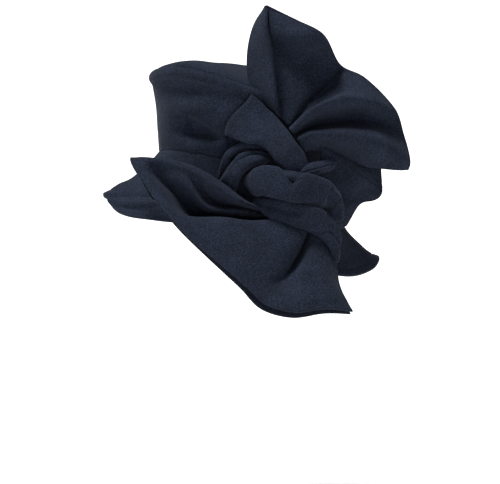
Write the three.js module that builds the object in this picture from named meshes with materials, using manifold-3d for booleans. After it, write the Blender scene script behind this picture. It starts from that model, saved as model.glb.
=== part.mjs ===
// A woman's sculptural hat of thick navy wool cloth: an oval crown with a puffed top, a bell brim, and on the
// wearer's left a twisted knot from which a pleated fan rises and a broad folded wing hangs.
// Millimetres. +Z is up, -Y is the way the wearer faces, +X is the wearer's left.
// The origin is the middle of the head opening.
import * as THREE from "three";
import { mergeVertices } from "three/addons/utils/BufferGeometryUtils.js";
import Module from "manifold-3d";

const wasm = await Module();
wasm.setup();

// Cloth
const CLOTH = 3.2; // one wall of doubled wool cloth
const GAP = 0.3; // between neighbouring pieces

// The knot looks out between the wearer's front and left, and the whole hat leans a little away from it
const KNOT_TURN = 60; // degrees round from the front
const LEAN = 8; // degrees

// Crown
const HEAD_LENGTH = 200; // outside of the crown at its seam, front to back
const HEAD_WIDTH = 160;
const SEAM_HEIGHT = 34; // crown seam above the origin, at the middle
const CROWN_HEIGHT = 99; // seam to top edge, at the middle
const CROWN_TOWARD = 14; // how far the crown's top leans towards the knot
const SEAM_ACROSS = -0.214; // slopes of the seam's plane, up per unit across and up per unit out
const SEAM_OUT = 0.085;
const TOP_MIDDLE = 1.04; // middle of the top panel's edge plane, in crown heights
const TOP_PUFF = 9; // how far the top panel rises above its own seam

// Brim
const BRIM_REACH = 60;
const BRIM_DROP = 58;

// Knot, and what leaves it: each arm is the length that 1.00 means in that piece's table
const KNOT_OUT = 105; // knot's middle in front of the crown's axis
const KNOT_ACROSS = 34.5;
const KNOT_UP = 29.5;
const KNOT_ARM = 102.5;
const FAN_ARM = 102.5;
const WING_ARM = 102.5;
const FLAP_ARM = 103;
const STRAP_THICK = 13; // a strap folded from doubled cloth
const FACING_LAP = 5.5; // how far the wing's under layer shows past its edge
const FACING_DEPTH = 17; // how far the under layer is turned in

const WOOL = { color: 0x1b2030, roughness: 0.95, metalness: 0 };

// Frame in which the knot is drawn: x across, y away from the eye, z up
function spot(across, up, out) {
  return new THREE.Vector3(across, -out, up);
}

const knotAt = spot(KNOT_ACROSS, KNOT_UP, KNOT_OUT);

// A point of a table, measured from the knot in shares of an arm
function fromKnot([across, up, out], arm) {
  return knotAt.clone().add(spot(across, up, out).multiplyScalar(arm));
}

// A smooth curve through points, sampled evenly over its table
function curve(points, steps, closed = false) {
  const line = new THREE.CatmullRomCurve3(points, closed, "catmullrom", 0.5);
  const count = closed ? steps : steps + 1;
  return Array.from({ length: count }, (_, i) => line.getPoint(i / steps));
}

// A net of points that passes through every row of a table of points
function net(rows, alongSteps, acrossSteps, closed = false) {
  const ribs = rows.map((row) => curve(row, alongSteps));
  const lines = ribs[0].map((_, j) => curve(ribs.map((rib) => rib[j]), acrossSteps, closed));
  return lines[0].map((_, i) => lines.map((line) => line[i]));
}

// Neighbour of a net's point, clamped at an open edge
function neighbour(points, i, j, di, dj, closed) {
  const rows = points.length;
  const row = closed ? (i + di + rows) % rows : Math.min(rows - 1, Math.max(0, i + di));
  const column = Math.min(points[0].length - 1, Math.max(0, j + dj));
  return points[row][column];
}

// Unit normal of a net at a point
function normalAt(points, i, j, closed) {
  const across = neighbour(points, i, j, 1, 0, closed).clone().sub(neighbour(points, i, j, -1, 0, closed));
  const along = neighbour(points, i, j, 0, 1, closed).clone().sub(neighbour(points, i, j, 0, -1, closed));
  return across.cross(along).normalize();
}

// A closed solid from triangles given as points
function solidOf(triangles) {
  const corners = triangles.flat().flatMap((p) => [p.x, p.y, p.z]);
  const geometry = new THREE.BufferGeometry();
  geometry.setAttribute("position", new THREE.Float32BufferAttribute(corners, 3));
  const merged = mergeVertices(geometry, 1e-3);
  const index = Array.from(merged.index.array);
  const faces = [];
  for (let i = 0; i < index.length; i += 3) {
    const [a, b, c] = index.slice(i, i + 3);
    if (a !== b && b !== c && c !== a) faces.push(a, b, c);
  }
  const mesh = new wasm.Mesh({
    numProp: 3,
    vertProperties: merged.attributes.position.array,
    triVerts: new Uint32Array(faces),
  });
  const solid = new wasm.Manifold(mesh);
  return solid.volume() > 0 ? solid : solidOf(triangles.map(([a, b, c]) => [a, c, b]));
}

// The solid between two nets of the same size, joined round their edges
function between(front, back, closed) {
  const triangles = [];
  const quad = (a, b, c, d) => triangles.push([a, b, c], [a, c, d]);
  const rows = front.length;
  const columns = front[0].length;
  const lastRow = closed ? rows : rows - 1;
  for (let i = 0; i < lastRow; i++) {
    const n = (i + 1) % rows;
    for (let j = 0; j < columns - 1; j++) {
      quad(front[i][j], front[n][j], front[n][j + 1], front[i][j + 1]);
      quad(back[i][j], back[i][j + 1], back[n][j + 1], back[n][j]);
    }
    quad(front[i][0], back[i][0], back[n][0], front[n][0]);
    const e = columns - 1;
    quad(front[i][e], front[n][e], back[n][e], back[i][e]);
  }
  if (!closed) {
    const r = rows - 1;
    for (let j = 0; j < columns - 1; j++) {
      quad(front[0][j], front[0][j + 1], back[0][j + 1], back[0][j]);
      quad(front[r][j], back[r][j], back[r][j + 1], front[r][j + 1]);
    }
  }
  return solidOf(triangles);
}

// A net moved along its normals, and pushed out at its open edges
function offsetNet(points, distance, edge, closed) {
  return points.map((row, i) =>
    row.map((point, j) => {
      const moved = point.clone().addScaledVector(normalAt(points, i, j, closed), distance);
      if (edge === 0) return moved;
      const outward = new THREE.Vector3();
      if (j === row.length - 1) outward.add(point.clone().sub(row[j - 1]).normalize());
      if (j === 0) outward.add(point.clone().sub(row[1]).normalize());
      if (!closed && i === 0) outward.add(point.clone().sub(points[1][j]).normalize());
      if (!closed && i === points.length - 1) outward.add(point.clone().sub(points[i - 1][j]).normalize());
      return outward.lengthSq() > 0 ? moved.addScaledVector(outward.normalize(), edge) : moved;
    }),
  );
}

// A sheet of cloth on a net, with room added all round when it cuts a neighbour
function sheet(points, thickness, room, closed = false) {
  const half = thickness / 2 + room;
  return between(offsetNet(points, half, room, closed), offsetNet(points, -half, room, closed), closed);
}

// A folded strap: rows hold its centre line, its width, its thickness as a share of STRAP_THICK,
// and how far its face turns up from the eye in degrees
const STRAP_SIDES = 10;
const STRAP_STEPS = 14;
const STRAP_SQUARENESS = 0.75; // 1 is an ellipse, and less is fuller
function strap(rows, room) {
  const places = curve(rows.map((r) => fromKnot(r.at, KNOT_ARM)), STRAP_STEPS);
  const measures = curve(rows.map((r) => new THREE.Vector3(r.width, r.thick, r.faceUp)), STRAP_STEPS);
  const full = (value) => Math.sign(value) * Math.abs(value) ** STRAP_SQUARENESS;
  const rings = places.map((place, i) => {
    const along = places[Math.min(i + 1, STRAP_STEPS)].clone().sub(places[Math.max(i - 1, 0)]).normalize();
    const tilt = THREE.MathUtils.degToRad(measures[i].z);
    const face = spot(0, Math.sin(tilt), Math.cos(tilt));
    const across = face.clone().cross(along).normalize();
    const outward = along.clone().cross(across).normalize();
    const halfWidth = (measures[i].x * KNOT_ARM) / 2 + room;
    const halfThick = (measures[i].y * STRAP_THICK) / 2 + room;
    return Array.from({ length: STRAP_SIDES }, (_, k) => {
      const angle = (2 * Math.PI * k) / STRAP_SIDES;
      return place
        .clone()
        .addScaledVector(across, full(Math.cos(angle)) * halfWidth)
        .addScaledVector(outward, full(Math.sin(angle)) * halfThick);
    });
  });
  const triangles = [];
  for (let i = 0; i < STRAP_STEPS; i++)
    for (let k = 0; k < STRAP_SIDES; k++) {
      const n = (k + 1) % STRAP_SIDES;
      triangles.push([rings[i][k], rings[i][n], rings[i + 1][n]]);
      triangles.push([rings[i][k], rings[i + 1][n], rings[i + 1][k]]);
    }
  for (const end of [0, STRAP_STEPS])
    for (let k = 0; k < STRAP_SIDES; k++) {
      const n = (k + 1) % STRAP_SIDES;
      const ring = rings[end];
      triangles.push(end === 0 ? [places[end], ring[n], ring[k]] : [places[end], ring[k], ring[n]]);
    }
  return solidOf(triangles);
}

// Turns are degrees round the hat seen from above in the knot's frame: 0 is right of the knot, 90 behind it.
// The crown's top edge by turn. height is a share of CROWN_HEIGHT above the middle of the seam, and flare a
// share of the head's size that the edge stands out there.
const CROWN_EDGE = [
  { turn: 0, height: 0.84, flare: 0 },
  { turn: 45, height: 0.97, flare: 0 },
  { turn: 90, height: 1.04, flare: 0 },
  { turn: 135, height: 1.04, flare: 0 },
  { turn: 165, height: 1.025, flare: 0.01 },
  { turn: 187, height: 1.0, flare: 0.03 },
  { turn: 203, height: 1.035, flare: 0.02 },
  { turn: 220, height: 1.06, flare: 0 },
  { turn: 238, height: 1.005, flare: 0 },
  { turn: 256, height: 0.907, flare: 0 },
  { turn: 272, height: 0.8, flare: 0 },
  { turn: 300, height: 0.77, flare: 0 },
  { turn: 335, height: 0.79, flare: 0 },
  { turn: 360, height: 0.84, flare: 0 },
];

// The crown wall from its seam to its top edge. share runs up the wall, swell is a share of the head's size.
const CROWN_PROFILE = [
  { share: 0, swell: 1 },
  { share: 0.15, swell: 1.025 },
  { share: 0.32, swell: 1.04 },
  { share: 0.48, swell: 1.045 },
  { share: 0.64, swell: 1.05 },
  { share: 0.82, swell: 1.06 },
  { share: 0.95, swell: 1.065 },
  { share: 1, swell: 1.03 },
];

// Dents in the crown wall, pressed away from the eye. across and up are the dent's middle as shares of
// HEAD_WIDTH and CROWN_HEIGHT from the origin, wide and tall its size as the same shares, and deep its depth
// as a share of HEAD_WIDTH, below zero where the wall swells.
const CROWN_DENTS = [
  { across: -0.43, up: 1.2, wide: 0.2, tall: 0.1, deep: 0.035 },
  { across: -0.33, up: 0.98, wide: 0.18, tall: 0.11, deep: -0.02 },
  { across: -0.385, up: 0.79, wide: 0.09, tall: 0.1, deep: 0.06 },
  { across: -0.25, up: 0.72, wide: 0.13, tall: 0.08, deep: 0.045 },
];

const CROWN_SIDES = 40;

// Values of a table at a place along one of its columns
function tableAt(rows, column, place) {
  const next = Math.max(1, rows.findIndex((row) => row[column] >= place));
  const [low, high] = [rows[next - 1], rows[next]];
  const mix = (place - low[column]) / (high[column] - low[column]);
  return Object.fromEntries(
    Object.keys(low).map((name) => [name, THREE.MathUtils.lerp(low[name], high[name], mix)]),
  );
}

// A point of the crown's wall: round runs round the oval from the wearer's front, and inset moves it inwards
function crownPoint(round, { share, swell }, inset) {
  const face = THREE.MathUtils.degToRad(KNOT_TURN);
  const ovalAt = (size) => {
    const ahead = ((HEAD_LENGTH / 2) * size - inset) * Math.cos(round);
    const aside = ((HEAD_WIDTH / 2) * size - inset) * Math.sin(round);
    return spot(
      -ahead * Math.sin(face) + aside * Math.cos(face),
      0,
      ahead * Math.cos(face) + aside * Math.sin(face),
    );
  };
  const base = ovalAt(1);
  const turn = (THREE.MathUtils.radToDeg(Math.atan2(base.y, base.x)) + 360) % 360;
  const edge = tableAt(CROWN_EDGE, "turn", turn);
  const point = ovalAt(swell + edge.flare * share ** 4);
  const faces = point.y < 0;
  const seam = SEAM_HEIGHT + SEAM_ACROSS * point.x - SEAM_OUT * point.y;
  point.z = THREE.MathUtils.lerp(seam, SEAM_HEIGHT + edge.height * CROWN_HEIGHT, share);
  point.y -= share * CROWN_TOWARD;
  if (!faces) return point;
  for (const dent of CROWN_DENTS) {
    const sideways = (point.x / HEAD_WIDTH - dent.across) / dent.wide;
    const upward = (point.z / CROWN_HEIGHT - dent.up) / dent.tall;
    point.y += dent.deep * HEAD_WIDTH * Math.exp(-(sideways ** 2) - upward ** 2);
  }
  return point;
}

const rounds = Array.from({ length: CROWN_SIDES }, (_, i) => (2 * Math.PI * i) / CROWN_SIDES);

// Net of the crown's wall, inset from its outside
function crownNet(inset) {
  return rounds.map((round) => CROWN_PROFILE.map((row) => crownPoint(round, row, inset)));
}

function crownSide(room) {
  return between(crownNet(-room), crownNet(CLOTH + room), true);
}

// The top panel: rings from its edge, tucked inside the crown's top edge, to its middle.
// rise is a share of TOP_PUFF.
const TOP_RINGS = [
  { reach: 1, rise: -0.3 },
  { reach: 0.94, rise: 0.5 },
  { reach: 0.82, rise: 1 },
  { reach: 0.6, rise: 1.05 },
  { reach: 0.3, rise: 1 },
  { reach: 0, rise: 1 },
];
function topNet(drop) {
  const edge = CROWN_PROFILE[CROWN_PROFILE.length - 1];
  const rim = rounds.map((round) => crownPoint(round, edge, CLOTH + GAP));
  const middle = spot(0, SEAM_HEIGHT + TOP_MIDDLE * CROWN_HEIGHT, CROWN_TOWARD);
  return rim.map((point) =>
    TOP_RINGS.map(({ reach, rise }) => {
      const lift = spot(0, rise * TOP_PUFF - drop, 0);
      return middle.clone().lerp(point, reach).add(lift);
    }),
  );
}
const crownTop = between(topNet(0), topNet(CLOTH), true);

// Brim sections round the crown: it falls from the seam, spreads, and ends at its rim. Outs are shares of
// BRIM_REACH and drops shares of BRIM_DROP, both from the crown's seam.
const BRIM_SECTIONS = [
  { turn: 0, fallOut: 0.04, fallDrop: 0.55, spreadOut: 0.4, spreadDrop: 1.0, rimOut: 0.71, rimDrop: 1.2 },
  { turn: 30, fallOut: 0.1, fallDrop: 0.5, spreadOut: 0.45, spreadDrop: 0.95, rimOut: 0.78, rimDrop: 1.16 },
  { turn: 65, fallOut: 0.16, fallDrop: 0.44, spreadOut: 0.5, spreadDrop: 0.82, rimOut: 0.82, rimDrop: 1.02 },
  { turn: 100, fallOut: 0.2, fallDrop: 0.4, spreadOut: 0.52, spreadDrop: 0.74, rimOut: 0.86, rimDrop: 0.9 },
  { turn: 140, fallOut: 0.34, fallDrop: 0.4, spreadOut: 0.66, spreadDrop: 0.6, rimOut: 0.98, rimDrop: 0.74 },
  { turn: 165, fallOut: 0.42, fallDrop: 0.44, spreadOut: 0.72, spreadDrop: 0.57, rimOut: 1.02, rimDrop: 0.7 },
  { turn: 182, fallOut: 0.44, fallDrop: 0.48, spreadOut: 0.74, spreadDrop: 0.62, rimOut: 1.02, rimDrop: 0.76 },
  { turn: 192, fallOut: 0.44, fallDrop: 0.46, spreadOut: 0.74, spreadDrop: 0.6, rimOut: 1.0, rimDrop: 0.78 },
  { turn: 203, fallOut: 0.36, fallDrop: 0.56, spreadOut: 0.66, spreadDrop: 0.86, rimOut: 0.84, rimDrop: 1.12 },
  { turn: 218, fallOut: 0.18, fallDrop: 0.6, spreadOut: 0.34, spreadDrop: 0.92, rimOut: 0.46, rimDrop: 1.24 },
  { turn: 245, fallOut: 0.02, fallDrop: 0.6, spreadOut: 0.06, spreadDrop: 0.94, rimOut: 0.12, rimDrop: 1.24 },
  { turn: 275, fallOut: 0, fallDrop: 0.6, spreadOut: 0.04, spreadDrop: 1.0, rimOut: 0.12, rimDrop: 1.38 },
  { turn: 305, fallOut: 0, fallDrop: 0.66, spreadOut: 0.08, spreadDrop: 1.1, rimOut: 0.24, rimDrop: 1.62 },
  { turn: 330, fallOut: 0, fallDrop: 0.64, spreadOut: 0.26, spreadDrop: 1.16, rimOut: 0.54, rimDrop: 1.66 },
  { turn: 348, fallOut: 0.02, fallDrop: 0.6, spreadOut: 0.36, spreadDrop: 1.1, rimOut: 0.69, rimDrop: 1.46 },
];
const BRIM_SIDES = 44;
const BRIM_STEPS = 6;
const BRIM_ROOT = GAP; // how far below the seam the brim starts

// Direction of a turn, level
function heading(turn) {
  const angle = THREE.MathUtils.degToRad(turn);
  return spot(Math.cos(angle), 0, -Math.sin(angle));
}

// The crown's seam straight out in a heading
const seamPoints = Array.from({ length: 360 }, (_, degree) =>
  crownPoint(THREE.MathUtils.degToRad(degree), CROWN_PROFILE[0], CLOTH / 2),
);
function seamPoint(turn) {
  const wanted = heading(turn);
  const nearness = (point) => spot(point.x, 0, -point.y).normalize().dot(wanted);
  return seamPoints.reduce((best, point) => (nearness(point) > nearness(best) ? point : best));
}

const brimRows = BRIM_SECTIONS.map((row) => {
  const root = seamPoint(row.turn).clone().add(spot(0, -BRIM_ROOT, 0));
  const out = heading(row.turn).multiplyScalar(BRIM_REACH);
  const place = (reach, drop) => root.clone().addScaledVector(out, reach).add(spot(0, -drop * BRIM_DROP, 0));
  return [
    root,
    place(row.fallOut, row.fallDrop),
    place(row.spreadOut, row.spreadDrop),
    place(row.rimOut, row.rimDrop),
  ];
});
const brimPoints = net(brimRows, BRIM_STEPS, BRIM_SIDES, true);

// The fan, rib by rib from its rolled left edge over the tip to its lower edge
const FAN_RIBS = [
  {
    fold: "left edge",
    root: [-0.09, 0.62, -0.1],
    inner: [-0.29, 0.8, -0.1],
    middle: [-0.37, 1, -0.14],
    outer: [-0.37, 1.25, -0.18],
    ridge: [-0.3, 1.51, -0.22],
    rim: [-0.18, 1.71, -0.26],
  },
  {
    fold: "edge ridge",
    root: [-0.06, 0.6, 0],
    inner: [-0.1, 0.77, 0.06],
    middle: [-0.125, 0.95, 0.06],
    outer: [-0.16, 1.2, 0.03],
    ridge: [-0.205, 1.47, -0.03],
    rim: [-0.18, 1.705, -0.2],
  },
  {
    fold: "inner valley",
    root: [-0.04, 0.58, -0.05],
    inner: [-0.07, 0.77, -0.09],
    middle: [-0.09, 0.95, -0.13],
    outer: [-0.12, 1.2, -0.16],
    ridge: [-0.16, 1.47, -0.16],
    rim: [-0.15, 1.7, -0.21],
  },
  {
    fold: "nodding tip",
    root: [-0.01, 0.54, -0.04],
    inner: [0.02, 0.75, -0.08],
    middle: [0.05, 0.97, -0.13],
    outer: [0.08, 1.17, -0.14],
    ridge: [0.11, 1.39, 0.04],
    rim: [0.12, 1.555, -0.05],
  },
  {
    fold: "tip shoulder",
    root: [0.03, 0.5, -0.04],
    inner: [0.14, 0.71, -0.1],
    middle: [0.24, 0.91, -0.16],
    outer: [0.31, 1.11, -0.19],
    ridge: [0.35, 1.31, -0.04],
    rim: [0.39, 1.41, -0.02],
  },
  {
    fold: "notch",
    root: [0.04, 0.47, -0.06],
    inner: [0.21, 0.65, -0.14],
    middle: [0.35, 0.82, -0.2],
    outer: [0.45, 0.96, -0.25],
    ridge: [0.52, 1.07, -0.27],
    rim: [0.56, 1.125, -0.28],
  },
  {
    fold: "upper slope",
    root: [0.05, 0.46, -0.02],
    inner: [0.28, 0.63, -0.06],
    middle: [0.46, 0.75, -0.1],
    outer: [0.61, 0.85, -0.15],
    ridge: [0.73, 0.93, -0.2],
    rim: [0.82, 0.975, -0.26],
  },
  {
    fold: "upper ridge",
    root: [0.06, 0.44, 0.04],
    inner: [0.26, 0.63, 0.08],
    middle: [0.49, 0.74, 0.06],
    outer: [0.73, 0.76, 0],
    ridge: [0.95, 0.72, -0.1],
    rim: [1.11, 0.66, -0.22],
  },
  {
    fold: "valley",
    root: [0.1, 0.4, -0.08],
    inner: [0.28, 0.48, -0.16],
    middle: [0.6, 0.56, -0.22],
    outer: [0.85, 0.56, -0.26],
    ridge: [1.05, 0.51, -0.29],
    rim: [1.2, 0.43, -0.32],
  },
  {
    fold: "lower ridge",
    root: [0.13, 0.35, 0.04],
    inner: [0.3, 0.415, 0.06],
    middle: [0.6, 0.405, 0.03],
    outer: [0.87, 0.36, -0.04],
    ridge: [1.09, 0.26, -0.15],
    rim: [1.26, 0.15, -0.3],
  },
  {
    fold: "lower edge",
    root: [0.2, 0.24, -0.06],
    inner: [0.42, 0.26, -0.15],
    middle: [0.61, 0.19, -0.21],
    outer: [0.81, 0.1, -0.26],
    ridge: [1.03, 0.07, -0.31],
    rim: [1.25, 0.065, -0.36],
  },
];

// The wing, rib by rib from its upper edge to its lower right corner
const WING_RIBS = [
  {
    fold: "upper edge",
    root: [-0.13, -0.34, -0.02],
    inner: [-0.37, -0.26, 0.04],
    middle: [-0.63, -0.07, 0.07],
    outer: [-0.95, 0.105, 0.03],
    hollow: [-1.21, 0.165, -0.03],
    ridge: [-1.39, 0.18, -0.09],
    rim: [-1.545, 0.18, -0.17],
  },
  {
    fold: "edge roll",
    root: [-0.14, -0.36, 0.02],
    inner: [-0.38, -0.29, 0.1],
    middle: [-0.67, -0.13, 0.13],
    outer: [-0.97, 0.07, 0.08],
    hollow: [-1.24, 0.14, -0.03],
    ridge: [-1.42, 0.155, -0.07],
    rim: [-1.545, 0.155, -0.15],
  },
  {
    fold: "upper groove",
    root: [-0.14, -0.38, -0.07],
    inner: [-0.39, -0.32, -0.06],
    middle: [-0.76, -0.23, -0.07],
    outer: [-0.98, 0.01, 0.06],
    hollow: [-1.27, 0.08, -0.08],
    ridge: [-1.42, 0.09, -0.03],
    rim: [-1.53, 0.115, -0.12],
  },
  {
    fold: "second ridge",
    root: [-0.14, -0.41, -0.02],
    inner: [-0.41, -0.365, 0.04],
    middle: [-0.77, -0.32, 0.05],
    outer: [-0.98, -0.11, 0.06],
    hollow: [-1.22, -0.06, -0.1],
    ridge: [-1.36, -0.01, 0],
    rim: [-1.495, 0.05, -0.08],
  },
  {
    fold: "deep valley",
    root: [-0.12, -0.43, -0.1],
    inner: [-0.42, -0.415, -0.1],
    middle: [-0.73, -0.39, -0.11],
    outer: [-0.91, -0.34, -0.1],
    hollow: [-1.08, -0.24, -0.1],
    ridge: [-1.25, -0.15, 0.04],
    rim: [-1.4, -0.08, -0.02],
  },
  {
    fold: "under the lap",
    root: [-0.09, -0.47, -0.12],
    inner: [-0.41, -0.49, -0.13],
    middle: [-0.7, -0.49, -0.14],
    outer: [-0.87, -0.46, -0.12],
    hollow: [-1.01, -0.39, -0.05],
    ridge: [-1.17, -0.28, 0.1],
    rim: [-1.34, -0.17, 0.03],
  },
  {
    fold: "lap edge",
    root: [-0.04, -0.45, 0.05],
    inner: [-0.33, -0.46, 0.11],
    middle: [-0.61, -0.445, 0.14],
    outer: [-0.85, -0.44, 0.16],
    hollow: [-0.98, -0.425, 0.17],
    ridge: [-1.12, -0.36, 0.16],
    rim: [-1.27, -0.27, 0.09],
  },
  {
    fold: "upper swell",
    root: [0.05, -0.475, 0.08],
    inner: [-0.19, -0.52, 0.16],
    middle: [-0.4, -0.56, 0.2],
    outer: [-0.59, -0.59, 0.24],
    hollow: [-0.73, -0.6, 0.26],
    ridge: [-0.86, -0.6, 0.26],
    rim: [-0.99, -0.585, 0.22],
  },
  {
    fold: "lower swell",
    root: [0.13, -0.51, 0.08],
    inner: [-0.01, -0.6, 0.17],
    middle: [-0.14, -0.69, 0.22],
    outer: [-0.27, -0.775, 0.26],
    hollow: [-0.37, -0.845, 0.29],
    ridge: [-0.47, -0.905, 0.31],
    rim: [-0.56, -0.955, 0.3],
  },
  {
    fold: "crease lip",
    root: [0.2, -0.54, 0.05],
    inner: [0.15, -0.65, 0.11],
    middle: [0.08, -0.77, 0.15],
    outer: [-0.03, -0.9, 0.19],
    hollow: [-0.15, -1.01, 0.25],
    ridge: [-0.27, -1.08, 0.3],
    rim: [-0.37, -1.125, 0.31],
  },
  {
    fold: "crease",
    root: [0.24, -0.56, -0.05],
    inner: [0.19, -0.67, -0.05],
    middle: [0.14, -0.78, -0.02],
    outer: [0.07, -0.91, 0.06],
    hollow: [0, -1.03, 0.16],
    ridge: [-0.09, -1.16, 0.27],
    rim: [-0.19, -1.285, 0.32],
  },
  {
    fold: "right swell",
    root: [0.29, -0.56, 0.03],
    inner: [0.27, -0.69, 0.09],
    middle: [0.25, -0.82, 0.14],
    outer: [0.22, -0.95, 0.19],
    hollow: [0.19, -1.08, 0.25],
    ridge: [0.15, -1.22, 0.32],
    rim: [0.1, -1.363, 0.34],
  },
  {
    fold: "right slope",
    root: [0.38, -0.63, 0.03],
    inner: [0.4, -0.76, 0.07],
    middle: [0.41, -0.89, 0.11],
    outer: [0.42, -1.01, 0.16],
    hollow: [0.42, -1.12, 0.21],
    ridge: [0.42, -1.23, 0.26],
    rim: [0.4, -1.33, 0.28],
  },
  {
    fold: "right edge",
    root: [0.46, -0.71, -0.04],
    inner: [0.505, -0.83, -0.02],
    middle: [0.525, -0.95, 0],
    outer: [0.54, -1.06, 0.03],
    hollow: [0.57, -1.16, 0.07],
    ridge: [0.615, -1.25, 0.11],
    rim: [0.675, -1.355, 0.16],
  },
];

// The flap behind the knot, rib by rib downwards
const FLAP_RIBS = [
  {
    fold: "upper edge",
    root: [0.31, 0.33, -0.2],
    middle: [0.65, 0.2, -0.34],
    rim: [0.98, 0.08, -0.46],
  },
  {
    fold: "ridge",
    root: [0.35, 0.28, -0.1],
    middle: [0.65, 0.1, -0.2],
    rim: [0.985, -0.16, -0.39],
  },
  {
    fold: "under side",
    root: [0.37, -0.15, -0.3],
    middle: [0.63, -0.17, -0.38],
    rim: [0.92, -0.23, -0.5],
  },
  {
    fold: "second ridge",
    root: [0.4, -0.3, -0.32],
    middle: [0.6, -0.33, -0.38],
    rim: [0.77, -0.28, -0.48],
  },
  {
    fold: "tuck",
    root: [0.42, -0.55, -0.36],
    middle: [0.52, -0.54, -0.42],
    rim: [0.62, -0.5, -0.48],
  },
];

// Rows of points from a table of ribs
function ribPoints(ribs, arm) {
  return ribs.map(({ fold, ...stations }) => Object.values(stations).map((station) => fromKnot(station, arm)));
}

const FAN_STEPS = { along: 10, across: 20 };
const WING_STEPS = { along: 12, across: 26 };
const FLAP_STEPS = { along: 6, across: 10 };
const fanPoints = net(ribPoints(FAN_RIBS, FAN_ARM), FAN_STEPS.along, FAN_STEPS.across);
const wingPoints = net(ribPoints(WING_RIBS, WING_ARM), WING_STEPS.along, WING_STEPS.across);
const flapPoints = net(ribPoints(FLAP_RIBS, FLAP_ARM), FLAP_STEPS.along, FLAP_STEPS.across);

// The wing's under layer, turned in along its outer edge and showing a little past it
const FACING_START = 6; // first line of the wing's net that the facing follows
const FACING_TAPER = 3; // lines over which it narrows to nothing at its right end
const facingPoints = wingPoints.slice(FACING_START).map((row, i, all) => {
  const lap = FACING_LAP * Math.min(1, (all.length - 1 - i) / FACING_TAPER);
  const rim = row[row.length - 1];
  const inward = row[row.length - 3].clone().sub(rim).normalize();
  const down = normalAt(wingPoints, i + FACING_START, row.length - 1, false);
  const behind = down.y > 0 ? down : down.negate();
  const base = rim.clone().addScaledVector(behind, CLOTH + GAP);
  return [
    base.clone().addScaledVector(inward, FACING_DEPTH),
    base.clone().addScaledVector(inward, FACING_DEPTH / 2),
    base,
    base.clone().addScaledVector(inward, -lap),
  ];
});

// Straps of the knot
const CENTRE_ROLL = [
  { at: [-0.35, -0.12, -0.06], width: 0.16, thick: 0.7, faceUp: 0 },
  { at: [-0.28, -0.08, 0.08], width: 0.27, thick: 1, faceUp: 4 },
  { at: [-0.19, -0.06, 0.15], width: 0.32, thick: 1.2, faceUp: 4 },
  { at: [-0.02, -0.09, 0.17], width: 0.31, thick: 1.25, faceUp: 2 },
  { at: [0.15, -0.12, 0.15], width: 0.31, thick: 1.2, faceUp: 0 },
  { at: [0.31, -0.15, 0.1], width: 0.29, thick: 1.1, faceUp: -4 },
  { at: [0.43, -0.21, 0.03], width: 0.26, thick: 1, faceUp: -6 },
  { at: [0.5, -0.31, -0.08], width: 0.2, thick: 0.9, faceUp: -4 },
  { at: [0.53, -0.45, -0.2], width: 0.14, thick: 0.8, faceUp: 0 },
];
const OVER_STRAP = [
  { at: [-0.47, 0.58, -0.14], width: 0.49, thick: 0.5, faceUp: 16 },
  { at: [-0.325, 0.525, -0.03], width: 0.43, thick: 0.65, faceUp: 20 },
  { at: [-0.185, 0.46, 0.04], width: 0.35, thick: 0.8, faceUp: 24 },
  { at: [-0.07, 0.345, 0.08], width: 0.29, thick: 0.9, faceUp: 24 },
  { at: [0.01, 0.23, 0.1], width: 0.28, thick: 0.9, faceUp: 20 },
  { at: [0.09, 0.13, 0.08], width: 0.26, thick: 0.85, faceUp: 16 },
  { at: [0.16, 0.03, 0.03], width: 0.2, thick: 0.7, faceUp: 12 },
  { at: [0.21, -0.05, -0.04], width: 0.14, thick: 0.6, faceUp: 10 },
];
const OUTER_LOOP = [
  { at: [-0.66, -0.06, -0.16], width: 0.05, thick: 0.5, faceUp: 10 },
  { at: [-0.615, 0.09, -0.12], width: 0.07, thick: 0.7, faceUp: 10 },
  { at: [-0.55, 0.215, -0.07], width: 0.085, thick: 0.8, faceUp: 14 },
  { at: [-0.43, 0.285, -0.04], width: 0.08, thick: 0.8, faceUp: 20 },
  { at: [-0.29, 0.29, -0.03], width: 0.07, thick: 0.8, faceUp: 22 },
  { at: [-0.185, 0.25, -0.04], width: 0.055, thick: 0.7, faceUp: 20 },
  { at: [-0.1, 0.19, -0.07], width: 0.04, thick: 0.6, faceUp: 16 },
];
const INNER_LOOP = [
  { at: [-0.61, -0.17, -0.1], width: 0.2, thick: 0.7, faceUp: 10 },
  { at: [-0.565, -0.085, -0.04], width: 0.2, thick: 0.9, faceUp: 16 },
  { at: [-0.525, 0.01, 0], width: 0.19, thick: 1, faceUp: 20 },
  { at: [-0.455, 0.1, 0.02], width: 0.19, thick: 1.05, faceUp: 24 },
  { at: [-0.37, 0.16, 0.03], width: 0.19, thick: 1, faceUp: 26 },
  { at: [-0.255, 0.185, 0.02], width: 0.15, thick: 0.9, faceUp: 22 },
  { at: [-0.15, 0.17, -0.01], width: 0.09, thick: 0.7, faceUp: 14 },
];
const LOWER_ROLL = [
  { at: [-0.31, -0.24, -0.04], width: 0.1, thick: 0.6, faceUp: 0 },
  { at: [-0.22, -0.29, 0.02], width: 0.15, thick: 0.8, faceUp: -4 },
  { at: [-0.11, -0.33, 0.07], width: 0.21, thick: 0.95, faceUp: -6 },
  { at: [0.04, -0.37, 0.1], width: 0.24, thick: 1, faceUp: -6 },
  { at: [0.19, -0.41, 0.12], width: 0.25, thick: 1, faceUp: -4 },
  { at: [0.32, -0.445, 0.11], width: 0.24, thick: 1, faceUp: 0 },
  { at: [0.43, -0.51, 0.06], width: 0.19, thick: 0.9, faceUp: 0 },
  { at: [0.5, -0.6, 0.01], width: 0.13, thick: 0.8, faceUp: 0 },
  { at: [0.54, -0.71, -0.05], width: 0.07, thick: 0.7, faceUp: 0 },
];
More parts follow.
